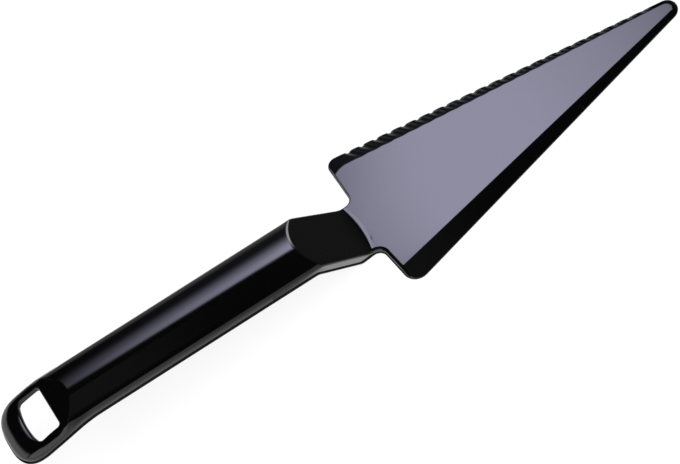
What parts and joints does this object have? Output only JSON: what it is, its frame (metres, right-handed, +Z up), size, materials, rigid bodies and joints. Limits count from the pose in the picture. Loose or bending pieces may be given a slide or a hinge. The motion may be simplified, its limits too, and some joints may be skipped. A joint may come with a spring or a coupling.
{
  "type": "cake server",
  "caption": "Moulded cake server with a flat triangular blade, one bevelled and one serrated edge, a raised crowned grip and a hanging loop.",
  "frame": {"origin": "the middle of the bounding box, on the plane of the blade's flat underside", "axes": "+X runs from the hanging loop to the blade's tip, +Y towards the serrated edge, +Z up from the underside to the blade's face"},
  "size_m": [0.2654, 0.0576, 0.028],
  "materials": {
    "gloss_black_plastic": "injection-moulded black polystyrene, high gloss"
  },
  "bodies": {
    "root": {"blade": "gloss_black_plastic", "plain_edge": "gloss_black_plastic", "serrated_edge": "gloss_black_plastic", "blade_tip": "gloss_black_plastic", "neck": "gloss_black_plastic", "grip": "gloss_black_plastic", "grip_ribs": "gloss_black_plastic", "hang_loop": "gloss_black_plastic"}
  },
  "joints": []
}
